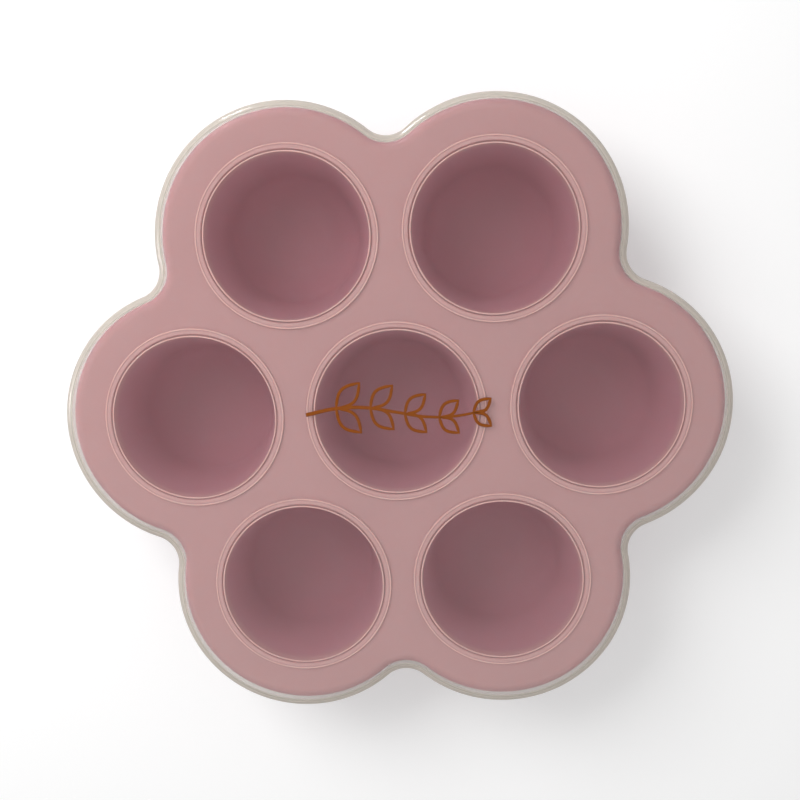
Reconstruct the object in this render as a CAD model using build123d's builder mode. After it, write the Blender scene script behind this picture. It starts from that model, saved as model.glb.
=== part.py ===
"""Baby food freezer tray: a soft silicone tray of seven round cups with a clip-on plastic lid.

Row frame, millimetres. +Z is up and z = 0 is the surface that the cups stand on. The origin
is on the axis of the centre cup. One petal cup lies on +X and the others follow every 60 degrees.

The silicone tray is one moulding. It is written as a deck and seven cups that meet face to
face, so that each cup stays open to what goes into it. The lid is one moulding of its own.
"""

import os
from math import atan2, cos, degrees, radians, sin, sqrt

from build123d import *

# ---- Driving dimensions -------------------------------------------------------------------
PETALS = 6
PETAL_STEP = 360 / PETALS
CUP_PITCH = 63.0  # from the centre cup to each petal cup, and from petal to petal

# Cups: tapered and bowl-shaped, with a small flat to stand on, about 50 ml each
MOUTH_RADIUS = 25.2
FLOOR_RADIUS = 19.0
FLOOR_CORNER = 14.0
CUP_WALL = 1.8
COLLAR_RADIUS = 28.2  # where the cup ends and the deck begins

# Deck: the flat top of the tray, with a lip turned down round its edge
DECK_TOP = 36.0
DECK_THICKNESS = 2.2
TRAY_PETAL_RADIUS = 38.7
RIM_WIDTH = 2.4
RIM_BOTTOM = 30.0
RIM_ROUNDING = 3.5  # the soft shoulder all round the tray

# Seal: ridges on the deck round each mouth, two fine lips and a low bead, which runs into the
# outer lip. Each is (radius to its middle, width, height, rounding of its top edges)
INNER_LIP = (25.45, 0.5, 0.7, 0.24)
BEAD = (26.8, 1.7, 0.6, 0.5)
OUTER_LIP = (27.7, 0.5, 0.7, 0.24)

# Lid: a thin flat plate with a rounded edge, a skirt and a snap ridge inside the skirt
LID_PETAL_RADIUS = 40.4
LID_WALL = 1.1
LID_EDGE_ROUNDING = 2.4
LID_UNDERSIDE = 36.8  # just over the lips, which bear on it once the silicone gives
SKIRT_BOTTOM = 27.5
SNAP_CLEARANCE = 0.2  # between the ridge and the side of the tray
SNAP_BOTTOM = 28.1
SNAP_HEIGHT = 1.4

# Notch between two petals: the radius that rounds it off on the outside of the lid
NOTCH_RADIUS = 8.6

# ---- Worked out from those ----------------------------------------------------------------
DECK_BOTTOM = DECK_TOP - DECK_THICKNESS
LID_TOP = LID_UNDERSIDE + LID_WALL
TRAY_INSET = LID_PETAL_RADIUS - TRAY_PETAL_RADIUS
SNAP_RIDGE = TRAY_INSET - LID_WALL - SNAP_CLEARANCE
NOTCH_DISTANCE = CUP_PITCH * cos(radians(PETAL_STEP / 2)) + sqrt(
    (LID_PETAL_RADIUS + NOTCH_RADIUS) ** 2 - (CUP_PITCH * sin(radians(PETAL_STEP / 2))) ** 2
)
PETAL_HALF_ANGLE = degrees(
    atan2(
        NOTCH_DISTANCE * sin(radians(PETAL_STEP / 2)),
        NOTCH_DISTANCE * cos(radians(PETAL_STEP / 2)) - CUP_PITCH,
    )
)

CUP_NAMES = ["right", "back_right", "back_left", "left", "front_left", "front_right"]
CUP_CENTRES = {"centre": (0.0, 0.0)}
for number, side in enumerate(CUP_NAMES):
    turn = radians(number * PETAL_STEP)
    CUP_CENTRES[side] = (CUP_PITCH * cos(turn), CUP_PITCH * sin(turn))

os.makedirs("parts", exist_ok=True)


def flower(inset):
    """The six-petal outline of the lid, moved inwards by inset."""
    petal_radius = LID_PETAL_RADIUS - inset
    notch_radius = NOTCH_RADIUS + inset
    with BuildSketch() as outline:
        with BuildLine():
            for petal in range(PETALS):
                heading = petal * PETAL_STEP
                centre = (CUP_PITCH * cos(radians(heading)), CUP_PITCH * sin(radians(heading)))
                CenterArc(centre, petal_radius, heading - PETAL_HALF_ANGLE, 2 * PETAL_HALF_ANGLE)
                between = heading + PETAL_STEP / 2
                notch = (NOTCH_DISTANCE * cos(radians(between)), NOTCH_DISTANCE * sin(radians(between)))
                CenterArc(
                    notch,
                    notch_radius,
                    heading + PETAL_HALF_ANGLE + 180,
                    PETAL_STEP - 2 * PETAL_HALF_ANGLE,
                )
        make_face()
    return outline.sketch


# ---- Tray deck ----------------------------------------------------------------------------
with BuildPart() as tray_deck:
    with BuildSketch(Plane.XY.offset(RIM_BOTTOM)):
        add(flower(TRAY_INSET))
    extrude(amount=DECK_TOP - RIM_BOTTOM)
    fillet(tray_deck.edges().group_by(Axis.Z)[-1], RIM_ROUNDING)
    with BuildSketch(Plane.XY.offset(RIM_BOTTOM)):
        add(flower(TRAY_INSET + RIM_WIDTH))
    extrude(amount=DECK_BOTTOM - RIM_BOTTOM, mode=Mode.SUBTRACT)
    with BuildSketch(Plane.XY.offset(DECK_TOP)):
        with Locations(*CUP_CENTRES.values()):
            Circle(COLLAR_RADIUS)
    extrude(amount=-DECK_THICKNESS, mode=Mode.SUBTRACT)
tray_deck.part.label = "tray_deck"
export_step(tray_deck.part, "parts/tray_deck.step")


# ---- Cups ---------------------------------------------------------------------------------
with BuildPart() as cup:
    with BuildSketch(Plane.XZ) as cup_section:
        with BuildLine():
            Polyline(
                (0, 0),
                (FLOOR_RADIUS + CUP_WALL, 0),
                (MOUTH_RADIUS + CUP_WALL, DECK_BOTTOM),
                (COLLAR_RADIUS, DECK_BOTTOM),
                (COLLAR_RADIUS, DECK_TOP),
                (MOUTH_RADIUS, DECK_TOP),
                (FLOOR_RADIUS, CUP_WALL),
                (0, CUP_WALL),
                close=True,
            )
        make_face()
        corners = cup_section.vertices()
        fillet(corners.sort_by_distance((FLOOR_RADIUS + CUP_WALL, 0))[0], FLOOR_CORNER + CUP_WALL)
        fillet(corners.sort_by_distance((FLOOR_RADIUS, CUP_WALL))[0], FLOOR_CORNER)
    revolve(axis=Axis.Z)
    for radius, width, height, rounding in (INNER_LIP, BEAD, OUTER_LIP):
        with BuildSketch(Plane.XZ) as ridge:
            with Locations((radius, DECK_TOP + height / 2)):
                Rectangle(width, height)
            fillet(ridge.vertices().group_by(Axis.Y)[-1], rounding)
    revolve(axis=Axis.Z)

for side, centre in CUP_CENTRES.items():
    with BuildPart() as placed_cup:
        with Locations(centre):
            add(cup.part)
    placed_cup.part.label = f"cup_{side}"
    export_step(placed_cup.part, f"parts/cup_{side}.step")


# ---- Lid ----------------------------------------------------------------------------------
with BuildPart() as lid:
    with BuildSketch(Plane.XY.offset(SKIRT_BOTTOM)):
        add(flower(0))
    extrude(amount=LID_TOP - SKIRT_BOTTOM)
    fillet(lid.edges().group_by(Axis.Z)[-1], LID_EDGE_ROUNDING)
    with BuildSketch(Plane.XY.offset(SKIRT_BOTTOM)):
        add(flower(LID_WALL))
    extrude(amount=LID_UNDERSIDE - SKIRT_BOTTOM, mode=Mode.SUBTRACT)
    fillet(lid.edges(Select.LAST).group_by(Axis.Z)[-1], LID_EDGE_ROUNDING - LID_WALL)
    with BuildSketch(Plane.XY.offset(SNAP_BOTTOM)):
        add(flower(LID_WALL))
        add(flower(LID_WALL + SNAP_RIDGE), mode=Mode.SUBTRACT)
    extrude(amount=SNAP_HEIGHT)
lid.part.label = "lid"
export_step(lid.part, "parts/lid.step")
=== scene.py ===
"""Baby food freezer tray: the looks of its silicone tray and plastic lid, built round the fixed frame.

Lengths are in metres, as the frame has them. A default written as 25.4 * MM is 25.4 millimetres.
"""

from math import atan2, cos, pi, radians, sin, sqrt, tan

import bmesh
import bpy
from bpy.props import FloatProperty, FloatVectorProperty, IntProperty, PointerProperty
from bpy.types import Operator, Panel, PropertyGroup
from mathutils import Euler, Matrix, Vector


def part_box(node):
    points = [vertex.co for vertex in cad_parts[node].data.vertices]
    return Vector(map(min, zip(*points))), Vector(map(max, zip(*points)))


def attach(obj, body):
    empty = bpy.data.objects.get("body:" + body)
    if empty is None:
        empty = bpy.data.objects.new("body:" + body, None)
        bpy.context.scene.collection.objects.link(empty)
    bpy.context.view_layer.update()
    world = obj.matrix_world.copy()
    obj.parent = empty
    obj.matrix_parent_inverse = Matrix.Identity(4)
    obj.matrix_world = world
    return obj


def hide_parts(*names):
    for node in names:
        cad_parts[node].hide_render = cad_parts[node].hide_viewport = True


bl_info = {
    "name": "Baby Food Freezer Tray",
    "version": (1, 0, 0),
    "blender": (4, 5, 0),
    "location": "3D View > Sidebar > Freezer Tray",
    "description": "Models a flower-shaped silicone freezer tray with its translucent clip-on lid",
    "category": "Object",
}

MM = 0.001
ORIGIN = Vector((0.0, 0.0, 0.0))
UP = Vector((0.0, 0.0, 1.0))
PETALS = 6
PETAL_STEP = 2 * pi / PETALS
FACETS_ROUND_CUP = 120
FACETS_ROUND_PETAL = 96
FACETS_ROUND_NOTCH = 24
FACET_TURN = radians(12)  # the most that one facet of a rounded corner turns
WELD = 0.002 * MM  # points closer than this are one

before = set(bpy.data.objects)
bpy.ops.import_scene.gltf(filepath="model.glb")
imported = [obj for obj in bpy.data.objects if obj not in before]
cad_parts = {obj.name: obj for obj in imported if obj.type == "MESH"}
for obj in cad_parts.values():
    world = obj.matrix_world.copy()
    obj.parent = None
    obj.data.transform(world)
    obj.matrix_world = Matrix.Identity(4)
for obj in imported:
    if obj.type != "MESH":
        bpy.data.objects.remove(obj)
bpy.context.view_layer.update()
CUPS = sorted(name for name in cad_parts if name.startswith("cup_"))
BOXES = {name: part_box(name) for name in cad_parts}


def centre_of(node):
    """The middle of a node's box, seen from above."""
    low, high = BOXES[node]
    return Vector(((low[0] + high[0]) / 2, (low[1] + high[1]) / 2, 0.0))


def top_of(node):
    return BOXES[node][1][2]


def bottom_of(node):
    return BOXES[node][0][2]


def linear(hex_colour):
    """The scene-linear colour of an sRGB hex value such as "c08a8b"."""
    channels = (int(hex_colour[i : i + 2], 16) / 255 for i in (0, 2, 4))
    return tuple(c / 12.92 if c <= 0.04045 else ((c + 0.055) / 1.055) ** 2.4 for c in channels)


def length(name, description, default):
    return FloatProperty(
        name=name, description=description, default=default, min=0.0, unit="LENGTH", precision=5
    )


def colour(name, description, hex_colour):
    return FloatVectorProperty(
        name=name, description=description, default=linear(hex_colour), min=0.0, max=1.0, subtype="COLOR"
    )


# ---- Sizes and colours that a user would change -------------------------------------------


class FlowerOutline(PropertyGroup):
    """The six-petal outline that the tray and the lid share."""

    cup_pitch: length("Cup pitch", "From the centre cup to each petal cup", centre_of("cup_right").x)
    lid_petal_radius: length("Lid petal radius", "Outside of the lid round each petal cup", 40.4 * MM)
    notch_radius: length("Notch radius", "Rounds off the notch between two petals, outside the lid", 8.6 * MM)


class TraySizes(PropertyGroup):
    """The silicone moulding."""

    petal_radius: length("Petal radius", "Outside of the tray round each petal cup", 38.7 * MM)
    deck_top: length("Deck top", "Height of the flat top", top_of("tray_deck"))
    deck_thickness: length("Deck thickness", "Thickness of the flat top", 2.2 * MM)
    rim_width: length("Rim width", "Thickness of the lip turned down round the edge", 2.4 * MM)
    rim_bottom: length("Rim bottom", "Height of the lip's lower edge", bottom_of("tray_deck"))
    rim_rounding: length("Rim rounding", "The soft shoulder all round the tray", 3.5 * MM)
    mouth_radius: length("Mouth radius", "Inside of a cup at its mouth", 25.2 * MM)
    floor_radius: length("Floor radius", "Inside of a cup at its floor", 19.0 * MM)
    floor_corner: length("Floor corner", "Rounding between a cup's wall and its floor", 14.0 * MM)
    cup_wall: length("Cup wall", "Thickness of a cup's wall and floor", 1.8 * MM)
    collar_radius: length("Collar radius", "Where a cup passes into the flat top", 28.2 * MM)
    inner_lip_radius: length("Inner lip radius", "Middle of the fine lip along a mouth", 25.45 * MM)
    outer_lip_radius: length("Outer lip radius", "Middle of the fine lip outside the bead", 27.7 * MM)
    lip_width: length("Lip width", "Width of the fine lips", 0.5 * MM)
    lip_height: length("Lip height", "Height of the fine lips above the deck", 0.7 * MM)
    lip_rounding: length("Lip rounding", "Rounding of the lips' top edges", 0.24 * MM)
    bead_radius: length("Bead radius", "Middle of the low bead between the lips", 26.8 * MM)
    bead_width: length("Bead width", "Width of the low bead, which runs into the outer lip", 1.7 * MM)
    bead_height: length("Bead height", "Height of the low bead above the deck", 0.6 * MM)
    bead_rounding: length("Bead rounding", "Rounding of the bead's top edges", 0.5 * MM)
    small_rounding: length("Small rounding", "Rounding along the moulding's lesser edges", 0.4 * MM)


class LidSizes(PropertyGroup):
    """The clip-on lid."""

    wall: length("Wall", "Thickness of the plate and the skirt", 1.1 * MM)
    plate_top: length("Plate top", "Height of the flat top", top_of("lid"))
    edge_rounding: length("Edge rounding", "Rounding from the plate down into the skirt", 2.4 * MM)
    skirt_bottom: length("Skirt bottom", "Height of the skirt's lower edge", bottom_of("lid"))
    snap_clearance: length("Snap clearance", "Between the ridge inside the skirt and the tray", 0.2 * MM)
    snap_bottom: length("Snap bottom", "Height of the ridge's lower edge", 28.1 * MM)
    snap_height: length("Snap height", "Height of the ridge itself", 1.4 * MM)
    small_rounding: length("Small rounding", "Rounding along the lid's lesser edges", 0.3 * MM)


class SprigSizes(PropertyGroup):
    """The printed sprig in the middle of the lid."""

    span: length("Span", "From one end of the stem to the other", 56.0 * MM)
    stroke: length("Stroke", "Width of the printed line", 1.1 * MM)
    thickness: length("Thickness", "How far the ink stands off the lid", 0.05 * MM)
    leaf_length: length("Leaf length", "Length of the longest leaf", 11.5 * MM)
    leaf_pairs: IntProperty(
        name="Leaf pairs", description="Pairs of leaves along the stem", default=5, min=1, max=12
    )


class Finishes(PropertyGroup):
    """The colours of the materials."""

    # The flat top's colour is the cups' colour painted paler, as a painted veil of light over the deck
    silicone: colour("Silicone", "Dusty pink silicone rubber", "c79a9c")
    silicone_cups: colour("Silicone in the cups", "The same rubber where it is moulded smooth", "be8692")
    # Painted highlight: the paler colour on the lips' crests stands for the light they catch under the lid
    silicone_crest_highlight: colour("Silicone on the lips", "The same rubber where it rubs on the lid", "e6bab7")
    polypropylene: colour("Polypropylene", "Natural polypropylene, very slightly warm", "f5f4f2")
    milk: colour("Milk", "The veil in the polypropylene, seen where its walls are thick", "d7d5ca")
    passed_light: colour("Passed light", "Tint of the light that a thin polypropylene wall lets by", "fafaf9")
    ink: colour("Ink", "Amber printing ink", "8c4805")
    lint: colour("Lint", "Specks that cling to the silicone", "e9d8d3")
    floor: colour("Floor", "Pale studio floor", "e9e9e9")


class Studio(PropertyGroup):
    """The stage, the light and the camera."""

    sky: FloatProperty(name="Sky", description="Light from all round", default=0.58, min=0.0)
    key: FloatProperty(name="Key", description="Power of the key lamp", default=2.4, min=0.0, unit="POWER")
    ceiling: FloatProperty(
        name="Ceiling", description="Light of the dim panel overhead", default=0.42, min=0.0
    )
    floor_lift: FloatProperty(
        name="Floor lift", description="Brings the floor up to white where it is seen", default=0.295, min=0.0
    )
    lens: FloatProperty(name="Lens", description="Focal length", default=42.08, min=1.0, unit="CAMERA")


# ---- Modelling helpers --------------------------------------------------------------------


def rounded_section(*corners):
    """The points along a section given by its corners, each (across, up) or (across, up, rounding)."""
    bm = bmesh.new()
    places = [Vector((corner[0], 0.0, corner[1])) for corner in corners]
    chain = [bm.verts.new(place) for place in places]
    for start, end in zip(chain, chain[1:]):
        bm.edges.new((start, end))
    for index, corner in enumerate(corners):
        if len(corner) < 3:
            continue
        turn = (places[index] - places[index - 1]).angle(places[index + 1] - places[index])
        bmesh.ops.bevel(
            bm,
            geom=[chain[index]],
            offset=corner[2] * tan(turn / 2),
            offset_type="OFFSET",
            segments=max(2, round(turn / FACET_TURN)),
            profile=0.5,
            affect="VERTICES",
            material=-1,
        )
    vert, came_by, points = chain[0], None, []
    while vert:
        points.append((vert.co.x, vert.co.z))
        onward = [edge for edge in vert.link_edges if edge is not came_by]
        came_by = onward[0] if onward else None
        vert = came_by.other_vert(vert) if onward else None
    bm.free()
    return points


def section_wire(bm, points, place):
    """A chain of edges through the section's points. place turns (across, up) into a position."""
    verts = [bm.verts.new(place(across, up)) for across, up in points]
    return verts + [bm.edges.new(pair) for pair in zip(verts, verts[1:])]


def spin(bm, geometry, centre, angle, steps, full_turn=False, copies=False):
    """Turns geometry about a vertical axis, as a surface or as copies, and returns its last place."""
    turned = bmesh.ops.spin(
        bm,
        geom=geometry,
        cent=centre,
        axis=UP,
        angle=angle,
        steps=steps,
        use_merge=full_turn,
        use_duplicate=copies,
    )
    return turned["geom_last"]


def turn_at_cups(bm, *sections):
    """Turns sections, given as (radius, height), once round the axis of every cup."""
    turned = bmesh.new()
    for points in sections:
        wire = section_wire(turned, points, lambda radius, up: Vector((radius, 0.0, up)))
        spin(turned, wire, ORIGIN, 2 * pi, FACETS_ROUND_CUP, full_turn=True)
    mesh = bpy.data.meshes.new("turned")
    turned.to_mesh(mesh)
    turned.free()
    place = ORIGIN
    for cup in CUPS:
        mesh.transform(Matrix.Translation(centre_of(cup) - place))
        place = centre_of(cup)
        bm.from_mesh(mesh)
    bpy.data.meshes.remove(mesh)


def sweep_round_petals(bm, outline, points):
    """Sweeps a section, given as (inset from the lid's outline, height), round the six petals.

    One petal and one notch are spun in turn, and the rest are copies of them, so this comes
    before anything else is in the bmesh.
    """
    petal_centre = Vector((outline.cup_pitch, 0.0, 0.0))
    across = outline.cup_pitch * sin(PETAL_STEP / 2)
    reach = outline.lid_petal_radius + outline.notch_radius
    notch_distance = outline.cup_pitch * cos(PETAL_STEP / 2) + sqrt(reach**2 - across**2)
    notch_centre = Matrix.Rotation(PETAL_STEP / 2, 3, UP) @ Vector((notch_distance, 0.0, 0.0))
    towards_notch = notch_centre - petal_centre
    half_petal = atan2(towards_notch.y, towards_notch.x)

    def place(inset, up):
        radius = outline.lid_petal_radius - inset
        return petal_centre + Vector((radius * cos(half_petal), -radius * sin(half_petal), up))

    wire = section_wire(bm, points, place)
    petal_end = spin(bm, wire, petal_centre, 2 * half_petal, FACETS_ROUND_PETAL)
    spin(bm, petal_end, notch_centre, PETAL_STEP - 2 * half_petal, FACETS_ROUND_NOTCH)
    everything = bm.verts[:] + bm.edges[:] + bm.faces[:]
    spin(bm, everything, ORIGIN, PETAL_STEP * (PETALS - 1), PETALS - 1, copies=True)


def weld(bm):
    bmesh.ops.remove_doubles(bm, verts=bm.verts, dist=WELD)


def fill_flat(bm, height):
    """Fills the flat face at a height between the open edges that lie in it."""
    bmesh.ops.scale(bm, vec=(1 / MM,) * 3, verts=bm.verts)  # the fill's own tolerance suits millimetres
    level, tolerance = height / MM, 0.01
    rims = [
        edge
        for edge in bm.edges
        if edge.is_boundary and all(abs(vert.co.z - level) < tolerance for vert in edge.verts)
    ]
    bmesh.ops.triangle_fill(bm, edges=rims, use_beauty=True, normal=UP)
    bmesh.ops.scale(bm, vec=(MM,) * 3, verts=bm.verts)


def finish_moulding(bm, name, finish, body):
    """Makes the closed bmesh an object with smooth, weighted normals that rides on its body."""
    open_edges = [edge for edge in bm.edges if not edge.is_manifold]
    if open_edges:
        raise RuntimeError(f"{name} has {len(open_edges)} open edges")
    bmesh.ops.recalc_face_normals(bm, faces=bm.faces)
    for face in bm.faces:
        face.smooth = True
    mesh = bpy.data.meshes.new(name)
    bm.to_mesh(mesh)
    bm.free()
    mesh.materials.append(finish)
    piece = bpy.data.objects.new(name, mesh)
    bpy.context.collection.objects.link(piece)
    weighted = piece.modifiers.new("Weighted normals", "WEIGHTED_NORMAL")
    weighted.keep_sharp = True
    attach(piece, body)
    return piece


# ---- Materials ----------------------------------------------------------------------------


def new_material(name):
    """An empty node material, with its tree and its output."""
    material = bpy.data.materials.new(name)
    material.use_nodes = True
    tree = material.node_tree
    tree.nodes.clear()
    return material, tree, tree.nodes.new("ShaderNodeOutputMaterial")


def add_node(tree, kind, settings=None, inputs=None, links=None):
    """Adds a node with its settings, its input values, and its links from other sockets."""
    node = tree.nodes.new(kind)
    for key, value in (settings or {}).items():
        setattr(node, key, value)
    for key, value in (inputs or {}).items():
        node.inputs[key].default_value = value
    for key, source in (links or {}).items():
        tree.links.new(source, node.inputs[key])
    return node


def rgba(rgb):
    return (*rgb, 1.0)


def seen_by_the_eye(tree):
    """A socket that is 1 for what the camera sees directly, in gloss or through plastic, and else 0."""
    ray = add_node(tree, "ShaderNodeLightPath")
    seen = add_node(
        tree,
        "ShaderNodeMath",
        {"operation": "MAXIMUM"},
        links={0: ray.outputs["Is Camera Ray"], 1: ray.outputs["Is Glossy Ray"]},
    )
    seen_through = add_node(
        tree,
        "ShaderNodeMath",
        {"operation": "MAXIMUM"},
        links={0: seen.outputs["Value"], 1: ray.outputs["Is Transmission Ray"]},
    )
    return seen_through.outputs["Value"]


def silicone_rubber(finishes, tray):
    """Platinum-cured silicone, moulded in a fine-blasted tool: satin, soft and faintly see-through.

    The eye gets a wide soft shine, edges that glow a little, a painted veil of light that makes the flat top
    paler than the cups, painted highlights on the lips' crests, and a few specks of lint.
    """
    material, tree, output = new_material("silicone_rubber")
    place = add_node(tree, "ShaderNodeTexCoord").outputs["Object"]
    # Painted veil: the flat top is painted paler than the cups, as a veil of light over it close under the
    # lid, and the cups keep the deeper pink
    height = add_node(tree, "ShaderNodeSeparateXYZ", links={"Vector": place})
    painted_veil_mask = add_node(
        tree,
        "ShaderNodeMapRange",
        inputs={"From Min": tray.deck_top - 3.0 * MM, "From Max": tray.deck_top - 0.1 * MM},
        links={"Value": height.outputs["Z"]},
    )
    pink = add_node(
        tree,
        "ShaderNodeMix",
        {"data_type": "RGBA"},
        {"A": rgba(finishes.silicone_cups), "B": rgba(finishes.silicone)},
        {"Factor": painted_veil_mask.outputs["Result"]},
    )
    # Painted highlight: the lips' crests are painted paler over the last tenth of a millimetre or so, as the
    # bright lines of light they show under the lid
    crest = tray.deck_top + tray.lip_height
    crest_highlight_mask = add_node(
        tree,
        "ShaderNodeMapRange",
        inputs={"From Min": crest - 0.14 * MM, "From Max": crest - 0.02 * MM},
        links={"Value": height.outputs["Z"]},
    )
    with_crest_highlight = add_node(
        tree,
        "ShaderNodeMix",
        {"data_type": "RGBA"},
        {"B": rgba(finishes.silicone_crest_highlight)},
        {"Factor": crest_highlight_mask.outputs["Result"], "A": pink.outputs["Result"]},
    )
    # The pigment is not quite even: clouds of about 35 mm, a few percent lighter and darker
    cloud = add_node(
        tree, "ShaderNodeTexNoise", inputs={"Scale": 1 / (35 * MM), "Detail": 3.0}, links={"Vector": place}
    )
    shade = add_node(
        tree,
        "ShaderNodeMapRange",
        inputs={"To Min": 0.96, "To Max": 1.04},
        links={"Value": cloud.outputs["Fac"]},
    )
    tint = add_node(
        tree,
        "ShaderNodeVectorMath",
        {"operation": "SCALE"},
        links={"Vector": with_crest_highlight.outputs["Result"], "Scale": shade.outputs["Result"]},
    )
    # Lint clings to silicone: pale specks of about 0.3 mm, one every 14 mm or so
    lint = add_node(
        tree,
        "ShaderNodeTexVoronoi",
        inputs={"Scale": 1 / (14 * MM), "Randomness": 1.0},
        links={"Vector": place},
    )
    speck = add_node(
        tree,
        "ShaderNodeMapRange",
        inputs={"From Min": 0.010, "From Max": 0.022, "To Min": 0.55, "To Max": 0.0},
        links={"Value": lint.outputs["Distance"]},
    )
    dusted = add_node(
        tree,
        "ShaderNodeMix",
        {"data_type": "RGBA"},
        {"B": rgba(finishes.lint)},
        {"Factor": speck.outputs["Result"], "A": tint.outputs["Vector"]},
    )
    # The blasted tool leaves a grain of about 0.05 mm, drawn at 0.25 mm so that it shows
    grain = add_node(
        tree, "ShaderNodeTexNoise", inputs={"Scale": 1 / (0.25 * MM), "Detail": 2.0}, links={"Vector": place}
    )
    bump = add_node(
        tree,
        "ShaderNodeBump",
        inputs={"Strength": 0.12, "Distance": 0.02 * MM},
        links={"Height": grain.outputs["Fac"]},
    )
    shader = add_node(
        tree,
        "ShaderNodeBsdfPrincipled",
        {"subsurface_method": "RANDOM_WALK"},
        {
            "Roughness": 0.46,
            "IOR": 1.41,
            "Subsurface Weight": 0.35,
            "Subsurface Radius": (1.0, 0.45, 0.4),
            "Subsurface Scale": 1.5 * MM,
        },
        {"Base Color": dusted.outputs["Result"], "Normal": bump.outputs["Normal"]},
    )
    tree.links.new(shader.outputs["BSDF"], output.inputs["Surface"])
    return material


def natural_polypropylene(finishes):
    """Unpigmented polypropylene, injection moulded in a polished tool: glossy and slightly milky.

    The eye gets crisp glints along the rounded edge, and a thin pale veil over what lies under it.
    """
    material, tree, output = new_material("natural_polypropylene")
    place = add_node(tree, "ShaderNodeTexCoord").outputs["Object"]
    # A thin plate cools a little wavy: swells of about 22 mm, too low to see but for the reflections
    swell = add_node(
        tree, "ShaderNodeTexNoise", inputs={"Scale": 1 / (22 * MM), "Detail": 1.0}, links={"Vector": place}
    )
    bump = add_node(
        tree,
        "ShaderNodeBump",
        inputs={"Strength": 0.08, "Distance": 0.1 * MM},
        links={"Height": swell.outputs["Fac"]},
    )
    clear = add_node(
        tree,
        "ShaderNodeBsdfPrincipled",
        inputs={
            "Base Color": rgba(finishes.polypropylene),
            "Roughness": 0.08,
            "IOR": 1.49,
            "Transmission Weight": 1.0,
        },
        links={"Normal": bump.outputs["Normal"]},
    )
    # The milkiness adds up through the depth of plastic: a thin veil on the plate and the skirt, more of
    # it where a wall is seen aslant, and dense in the rounded edge, which is thick from whatever side
    surface_milk = add_node(
        tree,
        "ShaderNodeBsdfPrincipled",
        inputs={"Base Color": rgba(finishes.milk), "Roughness": 0.1, "IOR": 1.49, "Specular IOR Level": 0.35},
        links={"Normal": bump.outputs["Normal"]},
    )
    glowing_milk = add_node(tree, "ShaderNodeBsdfTranslucent", inputs={"Color": rgba(finishes.milk)})
    milk = add_node(
        tree,
        "ShaderNodeMixShader",
        inputs={0: 0.5},
        links={1: surface_milk.outputs["BSDF"], 2: glowing_milk.outputs["BSDF"]},
    )
    slant = add_node(tree, "ShaderNodeLayerWeight", inputs={"Blend": 0.5})
    veil = add_node(
        tree,
        "ShaderNodeMapRange",
        inputs={"From Min": 0.055, "From Max": 0.75, "To Max": 0.4},
        links={"Value": slant.outputs["Facing"]},
    )
    thick_veil = add_node(
        tree,
        "ShaderNodeMapRange",
        inputs={"From Min": 0.78, "From Max": 0.96, "To Max": 0.6},
        links={"Value": slant.outputs["Facing"]},
    )
    veils = add_node(
        tree,
        "ShaderNodeMath",
        {"operation": "ADD"},
        links={0: veil.outputs["Result"], 1: thick_veil.outputs["Result"]},
    )
    geometry = add_node(tree, "ShaderNodeNewGeometry")
    tilt = add_node(tree, "ShaderNodeSeparateXYZ", links={"Vector": geometry.outputs["Normal"]})
    level = add_node(tree, "ShaderNodeMath", {"operation": "ABSOLUTE"}, links={0: tilt.outputs["Z"]})
    off_the_plate = add_node(
        tree,
        "ShaderNodeMapRange",
        inputs={"From Min": 0.999, "From Max": 0.96},
        links={"Value": level.outputs["Value"]},
    )
    off_the_skirt = add_node(
        tree,
        "ShaderNodeMapRange",
        inputs={"From Min": 0.02, "From Max": 0.3},
        links={"Value": level.outputs["Value"]},
    )
    dense = add_node(
        tree,
        "ShaderNodeMath",
        {"operation": "MULTIPLY"},
        links={0: off_the_plate.outputs["Result"], 1: off_the_skirt.outputs["Result"]},
    )
    milkiness = add_node(
        tree,
        "ShaderNodeMath",
        {"operation": "MAXIMUM"},
        links={0: veils.outputs["Value"], 1: dense.outputs["Value"]},
    )
    plastic = add_node(
        tree,
        "ShaderNodeMixShader",
        links={0: milkiness.outputs["Value"], 1: clear.outputs["BSDF"], 2: milk.outputs["Shader"]},
    )
    # Lamps and bounced light pass the thin walls straight on, but for a part that the milkiness scatters
    passed_light = rgba(finishes.passed_light)
    straight_on = add_node(tree, "ShaderNodeBsdfTransparent", inputs={"Color": passed_light})
    scattered = add_node(tree, "ShaderNodeBsdfTranslucent", inputs={"Color": passed_light})
    scattered_part = 0.28
    lighting = add_node(
        tree,
        "ShaderNodeMixShader",
        inputs={0: scattered_part},
        links={1: straight_on.outputs["BSDF"], 2: scattered.outputs["BSDF"]},
    )
    ray = add_node(tree, "ShaderNodeLightPath")
    soft_ray = add_node(
        tree,
        "ShaderNodeMath",
        {"operation": "MAXIMUM"},
        links={0: ray.outputs["Is Shadow Ray"], 1: ray.outputs["Is Diffuse Ray"]},
    )
    mixed = add_node(
        tree,
        "ShaderNodeMixShader",
        links={0: soft_ray.outputs["Value"], 1: plastic.outputs["Shader"], 2: lighting.outputs["Shader"]},
    )
    tree.links.new(mixed.outputs["Shader"], output.inputs["Surface"])
    return material


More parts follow.
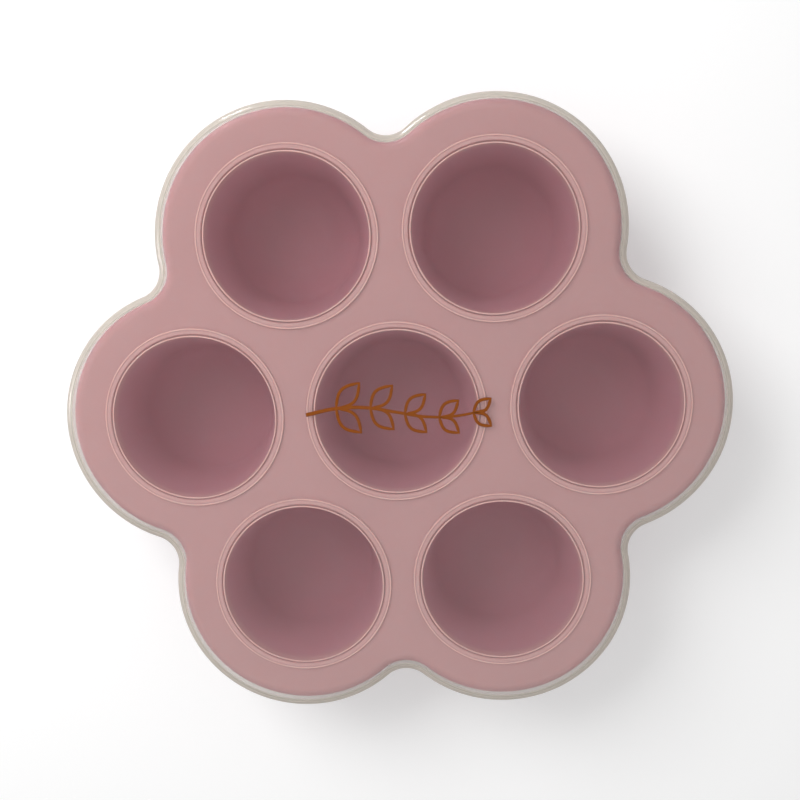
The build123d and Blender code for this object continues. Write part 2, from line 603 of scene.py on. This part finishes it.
def screen_ink(finishes):
    """Amber screen-printing ink, cured satin on the plastic: dense, with a slightly uneven film."""
    material, tree, output = new_material("screen_ink")
    place = add_node(tree, "ShaderNodeTexCoord").outputs["Object"]
    amber = Vector(finishes.ink)
    film = add_node(
        tree, "ShaderNodeTexNoise", inputs={"Scale": 1 / (1.5 * MM), "Detail": 3.0}, links={"Vector": place}
    )
    tint = add_node(
        tree,
        "ShaderNodeMix",
        {"data_type": "RGBA"},
        {"A": rgba(amber * 0.85), "B": rgba(amber * 1.15)},
        {"Factor": film.outputs["Fac"]},
    )
    shader = add_node(
        tree,
        "ShaderNodeBsdfPrincipled",
        inputs={"Roughness": 0.38, "IOR": 1.5, "Specular IOR Level": 0.3},
        links={"Base Color": tint.outputs["Result"]},
    )
    tree.links.new(shader.outputs["BSDF"], output.inputs["Surface"])
    return material


def studio_paper(finishes, lift):
    """Matt white background paper. Seen directly it is lifted to white, and it keeps the shadow."""
    material, tree, output = new_material("studio_paper")
    paper = add_node(tree, "ShaderNodeBsdfDiffuse", inputs={"Color": rgba(finishes.floor)})
    strength = add_node(
        tree, "ShaderNodeMath", {"operation": "MULTIPLY"}, {1: lift}, {0: seen_by_the_eye(tree)}
    )
    glow = add_node(tree, "ShaderNodeEmission", links={"Strength": strength.outputs["Value"]})
    both = add_node(
        tree, "ShaderNodeAddShader", links={0: paper.outputs["BSDF"], 1: glow.outputs["Emission"]}
    )
    tree.links.new(both.outputs["Shader"], output.inputs["Surface"])
    return material


# ---- Operators ----------------------------------------------------------------------------


class FREEZERTRAY_OT_tray(Operator):
    """Model the silicone tray: flat top, turned-down rim and seven cups, with a seal round each"""

    bl_idname = "freezer_tray.tray"
    bl_label = "Silicone Tray"
    bl_options = {"REGISTER", "UNDO"}

    def execute(self, context):
        scene = context.scene
        tray, outline = scene.tray_sizes, scene.flower_outline
        top = tray.deck_top
        under = top - tray.deck_thickness
        edge = outline.lid_petal_radius - tray.petal_radius
        inner_edge = edge + tray.rim_width
        small = tray.small_rounding
        rim = rounded_section(
            (edge + 2 * tray.rim_rounding, top),
            (edge, top, tray.rim_rounding),
            (edge, tray.rim_bottom, small),
            (inner_edge, tray.rim_bottom, small),
            (inner_edge, under, small),
            (inner_edge + tray.rim_width, under),
        )
        # The bead runs into the outer lip, and dips a little where the two meet
        lip_edge = tray.outer_lip_radius - tray.lip_width / 2
        bead_edge = tray.bead_radius - tray.bead_width / 2
        bead_top = top + tray.bead_height
        dip_width, dip_depth = 0.6 * tray.bead_rounding, 0.2 * tray.bead_rounding
        inside = rounded_section(
            (tray.collar_radius, top),
            *self.lip(tray, tray.outer_lip_radius),
            (lip_edge, bead_top - dip_depth),
            (lip_edge - dip_width, bead_top, tray.bead_rounding),
            (bead_edge, bead_top, tray.bead_rounding),
            (bead_edge, top),
            *self.lip(tray, tray.inner_lip_radius),
            (tray.mouth_radius, top),
            (tray.floor_radius, tray.cup_wall, tray.floor_corner),
            (0.0, tray.cup_wall),
        )
        outside = rounded_section(
            (0.0, 0.0),
            (tray.floor_radius + tray.cup_wall, 0.0, tray.floor_corner + tray.cup_wall),
            (tray.mouth_radius + tray.cup_wall, under, small),
            (tray.collar_radius, under),
        )
        bm = bmesh.new()
        sweep_round_petals(bm, outline, rim)
        turn_at_cups(bm, inside, outside)
        weld(bm)
        fill_flat(bm, top)
        fill_flat(bm, under)
        finish = silicone_rubber(scene.finishes, tray)
        piece = finish_moulding(bm, "silicone_tray", finish, "tray")
        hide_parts("tray_deck", *CUPS)
        return {"FINISHED"}

    @staticmethod
    def lip(tray, radius):
        """The outer foot and the two top corners of a fine lip that stands on the deck."""
        outer, inner = radius + tray.lip_width / 2, radius - tray.lip_width / 2
        crest = tray.deck_top + tray.lip_height
        return (outer, tray.deck_top), (outer, crest, tray.lip_rounding), (inner, crest, tray.lip_rounding)


class FREEZERTRAY_OT_lid(Operator):
    """Model the lid: a thin flat plate with a rounded edge, and a skirt with its snap ridge"""

    bl_idname = "freezer_tray.lid"
    bl_label = "Lid"
    bl_options = {"REGISTER", "UNDO"}

    def execute(self, context):
        scene = context.scene
        lid, outline = scene.lid_sizes, scene.flower_outline
        top = lid.plate_top
        under = top - lid.wall
        snap_in = outline.lid_petal_radius - scene.tray_sizes.petal_radius - lid.snap_clearance
        snap_top = lid.snap_bottom + lid.snap_height
        small = lid.small_rounding
        flat = 2 * lid.edge_rounding
        skirt = rounded_section(
            (flat, top),
            (0.0, top, lid.edge_rounding),
            (0.0, lid.skirt_bottom, small),
            (lid.wall, lid.skirt_bottom, small),
            (lid.wall, lid.snap_bottom, small / 2),
            (snap_in, lid.snap_bottom, small),
            (snap_in, snap_top, small),
            (lid.wall, snap_top, small / 2),
            (lid.wall, under, lid.edge_rounding - lid.wall),
            (flat, under),
        )
        bm = bmesh.new()
        sweep_round_petals(bm, outline, skirt)
        weld(bm)
        fill_flat(bm, top)
        fill_flat(bm, under)
        finish = natural_polypropylene(scene.finishes)
        piece = finish_moulding(bm, "clip_on_lid", finish, "lid")
        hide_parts("lid")
        return {"FINISHED"}


class FREEZERTRAY_OT_sprig(Operator):
    """Print a plain leafy sprig in thin amber lines in the middle of the lid"""

    bl_idname = "freezer_tray.sprig"
    bl_label = "Printed Sprig"
    bl_options = {"REGISTER", "UNDO"}

    def execute(self, context):
        scene = context.scene
        sprig = scene.sprig_sizes
        pen = bpy.data.curves.new("sprig_lines", "CURVE")
        pen.dimensions = "3D"
        pen.bevel_depth = sprig.stroke / 2
        pen.bevel_resolution = 3
        pen.resolution_u = 10
        pen.use_fill_caps = True
        self.draw_stem(pen, sprig)
        for number in range(sprig.leaf_pairs):
            along = (number + 0.9) / (sprig.leaf_pairs + 0.3)  # clear of the stem's foot and of its tip
            size = sprig.leaf_length * (1.0 - 0.45 * along)  # leaves are smaller towards the tip
            spread = radians(48 - 10 * along)  # and lie closer to the stem
            for side in (-1, 1):
                self.draw_leaf(pen, self.stem_point(sprig, along), size, side * spread)
        lines = bpy.data.objects.new("sprig_lines", pen)
        context.collection.objects.link(lines)
        context.view_layer.update()
        mesh = bpy.data.meshes.new_from_object(lines.evaluated_get(context.evaluated_depsgraph_get()))
        bpy.data.objects.remove(lines)
        mesh.name = "printed_sprig"
        flatten = Matrix.Diagonal((1.0, 1.0, 2 * sprig.thickness / sprig.stroke, 1.0))
        lift = Matrix.Translation((0.0, 0.0, scene.lid_sizes.plate_top))
        mesh.transform(lift @ flatten)
        mesh.materials.clear()
        mesh.materials.append(screen_ink(scene.finishes))
        for face in mesh.polygons:
            face.use_smooth = True
        piece = bpy.data.objects.new("printed_sprig", mesh)
        context.collection.objects.link(piece)
        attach(piece, "lid")
        return {"FINISHED"}

    @staticmethod
    def stem_point(sprig, along):
        """A point on the stem, which waves a little, from 0 at its foot to 1 at its tip."""
        sway = 0.035 * sprig.span
        return Vector(((along - 0.5) * sprig.span, sway * sin(2 * pi * along), 0.0))

    def draw_stem(self, pen, sprig):
        """The stem, drawn a little thinner towards its tip."""
        runs = 6
        line = pen.splines.new("BEZIER")
        line.bezier_points.add(runs)
        for number, point in enumerate(line.bezier_points):
            along = number / runs
            point.co = self.stem_point(sprig, along)
            point.handle_left_type = point.handle_right_type = "AUTO"
            point.radius = 1.1 - 0.4 * along

    @staticmethod
    def draw_leaf(pen, foot, size, heading):
        """An almond-shaped outline from its foot to its tip, along a heading from +X."""
        turn = Matrix.Rotation(heading, 3, UP)
        tip = foot + turn @ Vector((size, 0.0, 0.0))
        reach = 0.42 * size  # of the handles, along the leaf
        bulge = 0.8 * reach  # and across it
        outline = pen.splines.new("BEZIER")
        outline.use_cyclic_u = True
        outline.bezier_points.add(1)
        for point, place, facing in zip(outline.bezier_points, (foot, tip), (1, -1)):
            point.co = place
            point.handle_left_type = point.handle_right_type = "FREE"
            point.handle_left = place + turn @ Vector((facing * reach, facing * bulge, 0.0))
            point.handle_right = place + turn @ Vector((facing * reach, -facing * bulge, 0.0))
            point.radius = 0.9


class FREEZERTRAY_OT_stage(Operator):
    """Set the pale floor, the soft lights, the white surroundings and the camera"""

    bl_idname = "freezer_tray.stage"
    bl_label = "Stage"
    bl_options = {"REGISTER", "UNDO"}

    def execute(self, context):
        scene = context.scene
        studio = scene.studio
        self.add_floor(scene, studio.floor_lift)
        key = self.add_lamp(
            scene,
            "key_lamp",
            azimuth=134,
            elevation=45,
            distance=0.6,
            width=0.33,
            height=0.33,
            power=studio.key,
        )
        key.visible_glossy = False  # its own mirror image would be a broad white stripe along the lid
        key.visible_transmission = False  # through the rounded edge it would be a ragged streak
        self.add_glint_lamps(scene, bpy.data.objects["clip_on_lid"])
        self.add_ceiling(scene, studio.ceiling)
        self.add_sky(scene, studio.sky)
        self.add_camera(scene, studio)
        scene.view_settings.view_transform = "Standard"
        return {"FINISHED"}

    @staticmethod
    def add_floor(scene, lift):
        """A wide level sheet of paper under the cups."""
        bm = bmesh.new()
        half_side = 4.0
        bmesh.ops.create_grid(bm, x_segments=8, y_segments=8, size=half_side)
        mesh = bpy.data.meshes.new("studio_floor")
        bm.to_mesh(mesh)
        bm.free()
        mesh.materials.append(studio_paper(scene.finishes, lift))
        floor = bpy.data.objects.new("studio_floor", mesh)
        scene.collection.objects.link(floor)

    @staticmethod
    def add_ceiling(scene, strength):
        """A wide panel overhead, dimmer than the sky, so that the flat lid doesn't mirror white.

        It brightens towards the front, where the lid then carries a thin grey shine.
        """
        bm = bmesh.new()
        half_side, height = 0.65, 1.0
        bmesh.ops.create_grid(bm, x_segments=4, y_segments=4, size=half_side)
        bmesh.ops.translate(bm, vec=height * UP, verts=bm.verts)
        bmesh.ops.reverse_faces(bm, faces=bm.faces)
        mesh = bpy.data.meshes.new("ceiling_panel")
        bm.to_mesh(mesh)
        bm.free()
        material, tree, output = new_material("ceiling_panel")
        place = add_node(tree, "ShaderNodeTexCoord").outputs["Object"]
        axes = add_node(tree, "ShaderNodeSeparateXYZ", links={"Vector": place})
        level = add_node(
            tree,
            "ShaderNodeMapRange",
            inputs={"From Min": 0.15, "From Max": -0.45, "To Min": strength, "To Max": 1.6 * strength},
            links={"Value": axes.outputs["Y"]},
        )
        glow = add_node(tree, "ShaderNodeEmission", links={"Strength": level.outputs["Result"]})
        tree.links.new(glow.outputs["Emission"], output.inputs["Surface"])
        mesh.materials.append(material)
        panel = bpy.data.objects.new("ceiling_panel", mesh)
        scene.collection.objects.link(panel)

    @staticmethod
    def add_lamp(scene, name, azimuth, elevation, distance, width, height, power):
        """A rectangular lamp aimed at the tray, in degrees and metres. Azimuth 0 is +X, and 90 is +Y."""
        around, above = radians(azimuth), radians(elevation)
        towards = Vector((cos(around) * cos(above), sin(around) * cos(above), sin(above)))
        lamp = bpy.data.lights.new(name, "AREA")
        lamp.shape = "RECTANGLE"
        lamp.size = width
        lamp.size_y = height
        lamp.energy = power
        holder = bpy.data.objects.new(name, lamp)
        holder.location = towards * distance
        holder.rotation_euler = towards.to_track_quat("Z", "Y").to_euler()
        scene.collection.objects.link(holder)
        return holder

    def add_glint_lamps(self, scene, lid):
        """Two low strip lamps that draw short white lines along the lid's edge, and light nothing else."""
        lid_alone = bpy.data.collections.new("lid_alone")
        lid_alone.objects.link(lid)
        for name, azimuth, width, power in (("edge_lamp", 117, 0.16, 11.0), ("side_lamp", 178, 0.24, 8.0)):
            lamp = self.add_lamp(
                scene, name, azimuth, elevation=20, distance=0.9, width=width, height=0.012, power=power
            )
            lamp.visible_diffuse = lamp.visible_transmission = False
            lamp.light_linking.receiver_collection = lid_alone

    @staticmethod
    def add_sky(scene, strength):
        """Even light from all round. Seen directly, or in gloss or plastic, it is plain white."""
        world = bpy.data.worlds.new("studio_surroundings")
        scene.world = world
        world.use_nodes = True
        tree = world.node_tree
        tree.nodes.clear()
        level = add_node(
            tree,
            "ShaderNodeMapRange",
            inputs={"To Min": strength, "To Max": 1.0},
            links={"Value": seen_by_the_eye(tree)},
        )
        light = add_node(tree, "ShaderNodeBackground", links={"Strength": level.outputs["Result"]})
        output = add_node(tree, "ShaderNodeOutputWorld")
        tree.links.new(light.outputs["Background"], output.inputs["Surface"])

    @staticmethod
    def add_camera(scene, studio):
        """The camera looks almost straight down, from a little behind the tray's middle."""
        camera = bpy.data.cameras.new("camera")
        camera.lens = studio.lens
        holder = bpy.data.objects.new("camera", camera)
        holder.location = (10.4 * MM, 41.0 * MM, 323.1 * MM)
        holder.rotation_euler = Euler((radians(-7.49), radians(1.57), radians(-2.02)), "XYZ")
        scene.collection.objects.link(holder)
        scene.camera = holder


# ---- Panel and registration ---------------------------------------------------------------


PROPERTY_GROUPS = {
    "flower_outline": FlowerOutline,
    "tray_sizes": TraySizes,
    "lid_sizes": LidSizes,
    "sprig_sizes": SprigSizes,
    "finishes": Finishes,
    "studio": Studio,
}
OPERATORS = (FREEZERTRAY_OT_tray, FREEZERTRAY_OT_lid, FREEZERTRAY_OT_sprig, FREEZERTRAY_OT_stage)


class FREEZERTRAY_PT_panel(Panel):
    """Lists the pieces and what can be changed on them"""

    bl_label = "Freezer Tray"
    bl_idname = "FREEZERTRAY_PT_panel"
    bl_space_type = "VIEW_3D"
    bl_region_type = "UI"
    bl_category = "Freezer Tray"

    def draw(self, context):
        for group_name in PROPERTY_GROUPS:
            group = getattr(context.scene, group_name)
            box = self.layout.box()
            box.label(text=group_name.replace("_", " ").capitalize())
            for key in group.__annotations__:
                box.prop(group, key)
        for operator in OPERATORS:
            self.layout.operator(operator.bl_idname)


CLASSES = (*PROPERTY_GROUPS.values(), *OPERATORS, FREEZERTRAY_PT_panel)


def register():
    for cls in CLASSES:
        bpy.utils.register_class(cls)
    for name, cls in PROPERTY_GROUPS.items():
        setattr(bpy.types.Scene, name, PointerProperty(type=cls))


def unregister():
    for name in PROPERTY_GROUPS:
        delattr(bpy.types.Scene, name)
    for cls in reversed(CLASSES):
        bpy.utils.unregister_class(cls)


def main():
    register()
    bpy.ops.freezer_tray.tray()
    bpy.ops.freezer_tray.lid()
    bpy.ops.freezer_tray.sprig()
    bpy.ops.freezer_tray.stage()


if __name__ == "__main__":
    main()
